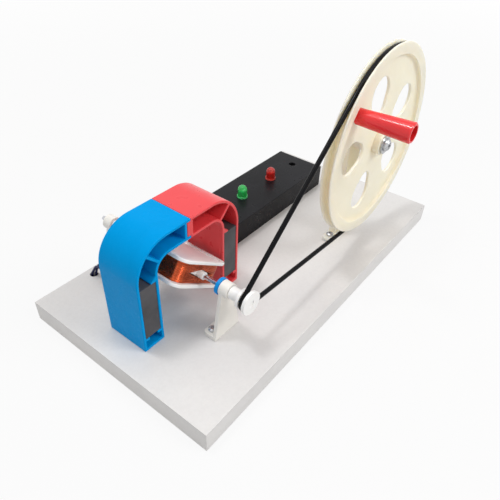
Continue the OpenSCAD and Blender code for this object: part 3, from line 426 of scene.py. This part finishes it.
ROUND_EDGES = {
    "magnet_housing_blue": (0.55, 3), "magnet_housing_red": (0.55, 3), "base_board": (0.5, 2),
    "light_box": (0.7, 3), "crank_wheel": (0.5, 3), "rotor_bobbin": (0.45, 3), "front_bracket": (0.4, 3),
    "rear_bracket": (0.4, 3), "wheel_stand": (0.5, 3), "crank_handle": (0.4, 3), "driven_pulley": (0.3, 3),
    "brush_block": (0.4, 2), "ferrite_magnet_blue": (0.4, 2), "ferrite_magnet_red": (0.4, 2),
    "thrust_ring": (0.3, 2),
}
# The stand wears a lighter cream, painted light for its post in the wheel's shadow.
OWN_LOOK = {"wheel_stand": "stand_plastic_painted_light"}
# Edges that turn less than FLAT_TURN are dissolved, and those that turn more than EDGE_TURN are rounded,
# unless they are shorter than SHORT_EDGE. Points within SAME_BEFORE and, after the rounding, SAME_AFTER
# metres of each other become one.
FLAT_TURN, EDGE_TURN = math.radians(0.6), math.radians(32.0)
SHORT_EDGE, SAME_BEFORE, SAME_AFTER = 0.6 * MM, 1e-6, 2e-7
FLAT_WEIGHT = 80


def rounded(node, width, segments):
    """A moulding with the node's shape and its outer edges rounded, which stands for the node."""
    bm = bmesh.new()
    bm.from_mesh(nodes[node].data)
    bmesh.ops.remove_doubles(bm, verts=bm.verts[:], dist=SAME_BEFORE)
    bmesh.ops.dissolve_limit(bm, angle_limit=FLAT_TURN, verts=bm.verts[:], edges=bm.edges[:])
    edges = [e for e in bm.edges if e.is_manifold and e.is_convex and e.calc_length() > SHORT_EDGE
             and e.calc_face_angle() > EDGE_TURN]
    bmesh.ops.bevel(bm, geom=edges, offset=width * MM, offset_type="OFFSET", segments=segments, profile=0.5,
                    affect="EDGES", clamp_overlap=False)
    bmesh.ops.remove_doubles(bm, verts=bm.verts[:], dist=SAME_AFTER)
    bmesh.ops.recalc_face_normals(bm, faces=bm.faces[:])
    if bm.calc_volume(signed=True) < 0:
        bmesh.ops.reverse_faces(bm, faces=bm.faces[:])
    for e in bm.edges:
        e.smooth = not e.is_manifold or e.calc_face_angle() < EDGE_TURN
    mesh = bpy.data.meshes.new(node + "_moulding")
    bm.to_mesh(mesh)
    bm.free()
    mesh.polygons.foreach_set("use_smooth", [True] * len(mesh.polygons))
    obj = bpy.data.objects.new(node + "_moulding", mesh)
    scene.collection.objects.link(obj)
    even = obj.modifiers.new("even_normals", "WEIGHTED_NORMAL")
    even.keep_sharp = True
    even.weight = FLAT_WEIGHT
    wear(obj, MATS[OWN_LOOK.get(node, SLOT_OF[node])])
    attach(obj, BODY_OF[node])
    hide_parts(node)


for node_name, (round_width, round_steps) in ROUND_EDGES.items():
    rounded(node_name, round_width, round_steps)


# Drive belt: two arcs and two straight runs, round rubber

WHEEL_STEPS, PULLEY_STEPS, RUN_STEPS, BELT_SIDES = 110, 28, 20, 20


def belt_path():
    dx, dz = WHEEL_X - SHAFT_X, WHEEL_Z - SHAFT_Z
    back = math.atan2(dz, dx) + math.pi
    lean = math.acos((WHEEL_RUN - PULLEY_RUN) / math.hypot(dx, dz))

    def arc(cx, cz, r, a0, a1, steps):
        return [(cx + r * math.cos(a), BELT_Y, cz + r * math.sin(a)) for a in np.linspace(a0, a1, steps + 1)]

    def run(start, end):
        between = np.linspace(0, 1, RUN_STEPS)[1:-1]
        return [tuple(np.array(start) * (1 - t) + np.array(end) * t) for t in between]

    wheel = arc(WHEEL_X, WHEEL_Z, WHEEL_RUN, back + lean - 2 * math.pi, back - lean, WHEEL_STEPS)
    pulley = arc(SHAFT_X, SHAFT_Z, PULLEY_RUN, back - lean, back + lean, PULLEY_STEPS)
    return np.array(wheel + run(wheel[-1], pulley[0]) + pulley + run(pulley[-1], wheel[0]))


belt_mesh = tube(belt_path() * MM, BELT_R * MM, BELT_SIDES, closed=True, axis=(0, 1, 0))
belt = piece("belt", *belt_mesh, "base", "belt_rubber")
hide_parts("drive_belt")


# Winding: fine enamelled wire around the bobbin, parted at the two bosses. Sizes in millimetres, in the
# bobbin's own frame: u across the flanges, y along the shaft, v from flange to flange.

FLANGE_W, FLANGE_D, FLANGE_GAP = 48.0, 49.0, 14.0
WIND_INSET, WIND_ROUND, PART_HALF, BOSS_R = 2.6, 6.5, 13.0, 2.6
POST_W, POST_D, POST_ROUND = 22.0, 30.0, 3.0
FINE_D, FINE_TURNS, FINE_LAYERS, WIRE_SIDES = 0.40, 31, 3, 7
LAYER_STEP, LAYER_REACH = 0.36, 1.6
FLANGE_ROOM, BOSS_ROOM, POST_ROOM = 0.15, 0.3, 0.05
UNDER, UNDER_ROWS, UNDER_ROOM, RIDGE, LEAST_V = 0.36, 29, 0.3, 0.13, 1e-4
BEND_STEPS, PART_STEPS, SIDE_STEPS = 7, 7, 5
RISER_Y, TAIL_U, TAIL_V = 43.3, 2.5, 4.3
fine_u = FLANGE_W / 2 - WIND_INSET - FINE_D / 2
fine_y = FLANGE_D / 2 - WIND_INSET - FINE_D / 2
fine_top = FLANGE_GAP / 2 - FINE_D / 2 - FLANGE_ROOM
fine_low = BOSS_R + BOSS_ROOM + FINE_D / 2
fine_pitch = 2 * fine_top / FINE_TURNS
rest_sin, rest_cos = math.sin(math.radians(REST_TURN)), math.cos(math.radians(REST_TURN))


def from_rotor(points):
    """Points (u, y, v) of the bobbin's own frame, turned to where the rotor rests, in metres."""
    p = np.asarray(points, float)
    x = SHAFT_X + p[:, 0] * rest_cos + p[:, 2] * rest_sin
    z = SHAFT_Z - p[:, 0] * rest_sin + p[:, 2] * rest_cos
    return np.stack([x, ROTOR_Y + p[:, 1], z], 1) * MM


def squeezed(v, u, top, low):
    """The level v, pressed away from the boss where the turns part around it."""
    w = max(0.0, 1 - abs(u) / PART_HALF)
    return math.copysign(abs(v) + w * low * (1 - abs(v) / top), v)


def across(v, u, side, layer, half_y, top, low):
    """A point on the front or back face, where the turns lie in layers as they close up."""
    out = layer * LAYER_STEP * max(0.0, 1 - (u / PART_HALF) ** 2 / LAYER_REACH)
    return (u, side * (half_y + out), squeezed(v, u, top, low))


def loop(half_u, half_y, r, top, low, level, next_level, layer=0, next_layer=0):
    """One turn of wire, from the middle of the back round by the front to the back again."""
    turn = [math.radians(a) for a in np.linspace(90, 0, BEND_STEPS)]
    part = np.linspace(0, 1, PART_STEPS)
    pts = [across(level, -f * PART_HALF, 1, layer, half_y, top, low) for f in part]
    pts += [(-(half_u - r + r * math.cos(a)), half_y - r + r * math.sin(a), level) for a in turn]
    pts += [(-half_u, y, level) for y in np.linspace(half_y - r, r - half_y, SIDE_STEPS)[1:-1]]
    pts += [(-(half_u - r + r * math.cos(a)), r - half_y - r * math.sin(a), level) for a in reversed(turn)]
    pts += [across(level, f * PART_HALF, -1, layer, half_y, top, low)
            for f in np.linspace(-1, 1, 2 * PART_STEPS - 1)]
    pts += [(half_u - r + r * math.cos(a), r - half_y - r * math.sin(a), level) for a in turn]
    pts += [(half_u, (r - half_y) + t * 2 * (half_y - r), level + t * (next_level - level))
            for t in part[1:-1]]
    pts += [(half_u - r + r * math.cos(a), half_y - r + r * math.sin(a), next_level) for a in reversed(turn)]
    pts += [across(next_level, f * PART_HALF, 1, next_layer, half_y, top, low)
            for f in np.linspace(1, 0, PART_STEPS)[:-1]]
    return pts


def tail(v):
    """The wire's end, from the commutator's riser to the first or last turn at level v."""
    s = math.copysign(1.0, v)
    riser = [(TAIL_U, RISER_Y - t, s * TAIL_V) for t in (0.0, 1.2, 2.4)]
    return riser + [(TAIL_U, fine_y + 8.0, v * 0.92), (TAIL_U, fine_y + 4.4, v),
                    (TAIL_U - 0.1, fine_y + 2.6, v), (TAIL_U - 0.7, fine_y + 1.2, v)]


def winding_path():
    levels = [-fine_top + i * fine_pitch for i in range(FINE_TURNS + 1)]
    pts = tail(levels[0])
    for i in range(FINE_TURNS):
        pts += loop(fine_u, fine_y, WIND_ROUND, fine_top, fine_low, levels[i], levels[i + 1],
                    i % FINE_LAYERS, (i + 1) % FINE_LAYERS)
    return pts + list(reversed(tail(levels[-1])))


def inner_turns():
    """The turns under the outer layer: two ridged rings that part round the bosses and close on the post."""
    verts, faces = [], []
    half_u, half_y = fine_u - UNDER, fine_y - UNDER
    top, low = FLANGE_GAP / 2 - UNDER_ROOM, BOSS_R + BOSS_ROOM
    for side in (-1, 1):
        outside, inside = [], []
        for j in range(UNDER_ROWS):
            v = side * max(LEAST_V, top * j / (UNDER_ROWS - 1))
            ridge = RIDGE * (j % 2)
            outside.append(loop(half_u - ridge, half_y - ridge, WIND_ROUND - UNDER, top, low, v, v))
            inside.append(loop(POST_W / 2 + POST_ROOM, POST_D / 2 + POST_ROOM, POST_ROUND, top, low, v, v))
        start, cols = len(verts), len(outside[0])
        rings = outside + inside[::-1]
        for ring in rings:
            verts += ring
        for j in range(len(rings)):
            a, b = start + j * cols, start + (j + 1) % len(rings) * cols
            faces += [(a + k, a + (k + 1) % cols, b + (k + 1) % cols, b + k) for k in range(cols)]
    return from_rotor(verts), faces


winding_mesh = tube(from_rotor(winding_path()), FINE_D / 2 * MM, WIRE_SIDES, axis=(rest_sin, 0.0, rest_cos))
winding = piece("winding", *winding_mesh, "rotor", "copper")
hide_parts("coil_winding")
# The inner turns wear copper_dark, painted shade for turns under the outer layer.
inner = piece("inner_turns", *inner_turns(), "rotor", "copper_dark")
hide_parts("coil_body")


# Lead wires: the source's routes as smooth insulated wire, with its offsets in millimetres

LEAD_R, LEAD_Z, BOARD_Z, LEAD_SIDES = 0.9, 3.9, 26.0, 12
HOLE_X, HOLE_Y, ENTRY_X, ENTRY_Y = -105.0, 72.5, 10.0, 40.0
LEAD_TOP, BRUSH_Y, FOOT_END = 25.1, 54.0, 16.55
BLOCK_END, BLOCK_FRONT = -105.0, 45.1


def under(off, x0):
    """The way from the wire hole, through the groove under the board, to the light box."""
    run_y, run_x = HOLE_Y + off * 1.2, ENTRY_X + off * 1.2
    return [
        (x0, HOLE_Y + off, BASE_TOP - 2), (x0, HOLE_Y + off, 7), (x0 + 0.5, HOLE_Y + off * 1.1, 4.4),
        (x0 + 2.2, run_y, LEAD_Z), (-60, run_y, LEAD_Z), (-20, run_y, LEAD_Z),
        (ENTRY_X + off - 4, run_y, LEAD_Z), (ENTRY_X + off - 1.2, run_y - 0.8, LEAD_Z),
        (run_x, run_y - 3.6, LEAD_Z), (run_x, ENTRY_Y + 14, LEAD_Z), (run_x, ENTRY_Y + 3, LEAD_Z),
        (run_x, ENTRY_Y + 0.8, 4.8), (run_x, ENTRY_Y, 7), (run_x, ENTRY_Y, 14), (run_x, ENTRY_Y, BOARD_Z)]


LEFT_ROUTE = [
    (SHAFT_X - FOOT_END - 0.1, BRUSH_Y, LEAD_TOP + 0.3), (BLOCK_END + 2.6, BRUSH_Y + 1.4, LEAD_TOP + 1),
    (BLOCK_END + 1.9, BRUSH_Y + 4.6, LEAD_TOP + 2.4), (HOLE_X + 2.6, HOLE_Y - 9, LEAD_TOP + 2.9),
    (HOLE_X + 2.5, HOLE_Y - 4.9, LEAD_TOP + 0.9), (HOLE_X + 1.9, HOLE_Y - 2.3, BASE_TOP + 5.5),
    (HOLE_X + 1.4, HOLE_Y - 1.2, BASE_TOP + 1.6)] + under(-1, HOLE_X + 1.2)
RIGHT_ROUTE = [
    (SHAFT_X + FOOT_END + 0.1, BRUSH_Y, LEAD_TOP + 0.3),
    (SHAFT_X + FOOT_END + 1.6, BRUSH_Y - 2, LEAD_TOP + 0.5),
    (SHAFT_X + FOOT_END + 0.9, BLOCK_FRONT + 3.2, LEAD_TOP + 0.2),
    (SHAFT_X + FOOT_END - 2, BLOCK_FRONT + 1.6, LEAD_TOP),
    (SHAFT_X, BLOCK_FRONT + 1.4, LEAD_TOP), (BLOCK_END + 6, BLOCK_FRONT + 1.6, LEAD_TOP),
    (BLOCK_END + 1.4, BLOCK_FRONT + 3.4, LEAD_TOP + 0.3), (BLOCK_END - 1.4, BRUSH_Y + 1, LEAD_TOP + 0.8),
    (BLOCK_END - 0.6, BRUSH_Y + 5.4, LEAD_TOP + 1.7), (HOLE_X, HOLE_Y - 8.5, LEAD_TOP + 1.9),
    (HOLE_X + 0.1, HOLE_Y - 4.1, LEAD_TOP - 0.1), (HOLE_X - 0.6, HOLE_Y - 1.3, BASE_TOP + 4.5),
    (HOLE_X - 1.1, HOLE_Y + 0.5, BASE_TOP + 1.2)] + under(1, HOLE_X - 1.2)
for lead_name, route, lead_node in (("lead_wire_left", LEFT_ROUTE, "lead_left"),
                                    ("lead_wire_right", RIGHT_ROUTE, "lead_right")):
    wire = piece(lead_name, *tube(smooth_path(route) * MM, LEAD_R * MM, LEAD_SIDES), "base", "lead_navy")
    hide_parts(lead_node)


# Inner parts of the lamps: an anvil post with its reflector cup, and the thinner post beside it.
# Their outlines are (radius, height) pairs in millimetres, the height above the foot.

CORE_FOOT, CUP_LEFT, POST_RIGHT, CORE_SIDES = BOX_ROOF + 0.5, 1.0, 1.6, 20
CUP = [(0.5, 0.0), (0.5, 3.4), (1.5, 4.2), (1.8, 5.6), (1.5, 5.6), (0.7, 4.9)]
POST = [(0.45, 0.0), (0.45, 4.6), (0.75, 5.0), (0.6, 5.5)]


def turned(outline, cx, cy):
    """A closed solid of revolution about a vertical line."""
    verts, faces = [], []
    ring = [(math.cos(2 * math.pi * k / CORE_SIDES), math.sin(2 * math.pi * k / CORE_SIDES))
            for k in range(CORE_SIDES)]
    for r, h in outline:
        verts += [(cx + r * c, cy + r * s, CORE_FOOT + h) for c, s in ring]
    last = len(outline) - 1
    for j in range(last):
        a, b = j * CORE_SIDES, (j + 1) * CORE_SIDES
        faces += [(a + k, a + (k + 1) % CORE_SIDES, b + (k + 1) % CORE_SIDES, b + k)
                  for k in range(CORE_SIDES)]
    faces += [tuple(range(CORE_SIDES)), tuple(range(last * CORE_SIDES, (last + 1) * CORE_SIDES))]
    return np.array(verts) * MM, faces


def lamp_core(name, cx):
    cup_verts, cup_faces = turned(CUP, cx - CUP_LEFT, BOX_Y)
    post_verts, post_faces = turned(POST, cx + POST_RIGHT, BOX_Y)
    post_faces = [tuple(i + len(cup_verts) for i in f) for f in post_faces]
    piece(name, np.vstack([cup_verts, post_verts]), cup_faces + post_faces, "base", "bright_steel")


lamp_core("green_lamp_core", BOX_X - LAMP_GAP / 2)
lamp_core("red_lamp_core", BOX_X + LAMP_GAP / 2)


# Stage and light, in metres and watts. A softbox has its place, its aim, its width and its power.

FLOOR_HALF, FLOOR_Z, FLOOR_GREY = 6.0, -0.0003, 0.66
SHADOW_NEAR, SHADOW_FAR, NEAR_WHITE = 0.25, 1.2, 0.88
SKY_COLOUR, SKY_LIGHT = (1.0, 0.99, 0.98, 1.0), 0.48
WHITE = (1.0, 1.0, 1.0, 1.0)
SOFTBOXES = {
    "key": ((0.25, -0.75, 0.8), (0.0, 0.0, 0.04), 0.5, 4.8),
    "top": ((-0.1, 0.15, 1.1), (0.0, 0.0, 0.03), 0.9, 3.0),
    "shine": ((-0.2, 0.22, 0.98), (0.0, 0.0, 0.05), 0.16, 2.1),
    "glint": ((-0.55, -0.9, 0.24), (-0.1, -0.02, 0.06), 0.13, 0.4),
}


def shown(tree):
    """1 for a ray from the camera, a gloss or clear resin, and 0 for a ray that lights something."""
    path = tree.nodes.new("ShaderNodeLightPath")
    value = path.outputs["Is Camera Ray"]
    for name in ("Is Glossy Ray", "Is Transmission Ray"):
        most = tree.nodes.new("ShaderNodeMath")
        most.operation = "MAXIMUM"
        tree.links.new(value, most.inputs[0])
        tree.links.new(path.outputs[name], most.inputs[1])
        value = most.outputs[0]
    return value


def join(tree, share, first, second, out):
    """Sends a mix of two shaders to the output."""
    both = tree.nodes.new("ShaderNodeMixShader")
    for socket, source in zip(both.inputs, (share, first.outputs[0], second.outputs[0])):
        tree.links.new(source, socket)
    tree.links.new(both.outputs[0], out.inputs[0])


def floor_material():
    """White where it is seen, with the part's shadow kept near the part, and grey to the light."""
    mat = bpy.data.materials.new("floor")
    mat.use_nodes = True
    tree = mat.node_tree
    tree.nodes.clear()
    out = tree.nodes.new("ShaderNodeOutputMaterial")
    glow = tree.nodes.new("ShaderNodeEmission")
    glow.inputs["Strength"].default_value = 1.0
    matt = tree.nodes.new("ShaderNodeBsdfDiffuse")
    matt.inputs["Color"].default_value = (FLOOR_GREY, FLOOR_GREY, FLOOR_GREY, 1.0)
    away = tree.nodes.new("ShaderNodeVectorMath")
    away.operation = "LENGTH"
    tree.links.new(tree.nodes.new("ShaderNodeTexCoord").outputs["Object"], away.inputs[0])
    fade = tree.nodes.new("ShaderNodeMapRange")
    fade.inputs["From Min"].default_value, fade.inputs["From Max"].default_value = SHADOW_NEAR, SHADOW_FAR
    fade.inputs["To Min"].default_value, fade.inputs["To Max"].default_value = NEAR_WHITE, 1.0
    tree.links.new(away.outputs["Value"], fade.inputs["Value"])
    share = tree.nodes.new("ShaderNodeMath")
    share.operation = "MULTIPLY"
    tree.links.new(shown(tree), share.inputs[0])
    tree.links.new(fade.outputs["Result"], share.inputs[1])
    join(tree, share.outputs[0], matt, glow, out)
    return mat


def make_floor():
    mesh = bpy.data.meshes.new("floor")
    corners = [(x * FLOOR_HALF, y * FLOOR_HALF, FLOOR_Z) for x, y in ((-1, -1), (1, -1), (1, 1), (-1, 1))]
    mesh.from_pydata(corners, [], [(0, 1, 2, 3)])
    mesh.materials.append(floor_material())
    floor = bpy.data.objects.new("floor", mesh)
    scene.collection.objects.link(floor)


def make_world():
    """A pale even sky that lights the part and is white where it is seen."""
    world = bpy.data.worlds.new("world")
    scene.world = world
    world.use_nodes = True
    tree = world.node_tree
    tree.nodes.clear()
    out = tree.nodes.new("ShaderNodeOutputWorld")
    light, white = tree.nodes.new("ShaderNodeBackground"), tree.nodes.new("ShaderNodeBackground")
    for sky, colour, strength in ((light, SKY_COLOUR, SKY_LIGHT), (white, WHITE, 1.0)):
        sky.inputs["Color"].default_value = colour
        sky.inputs["Strength"].default_value = strength
    join(tree, shown(tree), light, white, out)


def softbox(name, place, aim, size, power):
    data = bpy.data.lights.new(name, "AREA")
    data.shape, data.size, data.energy = "DISK", size, power
    lamp = bpy.data.objects.new(name, data)
    lamp.location = Vector(place)
    lamp.rotation_mode = "QUATERNION"
    lamp.rotation_quaternion = (Vector(aim) - Vector(place)).to_track_quat("-Z", "Y")
    scene.collection.objects.link(lamp)


make_floor()
make_world()
for box_name, box_setup in SOFTBOXES.items():
    softbox(box_name, *box_setup)
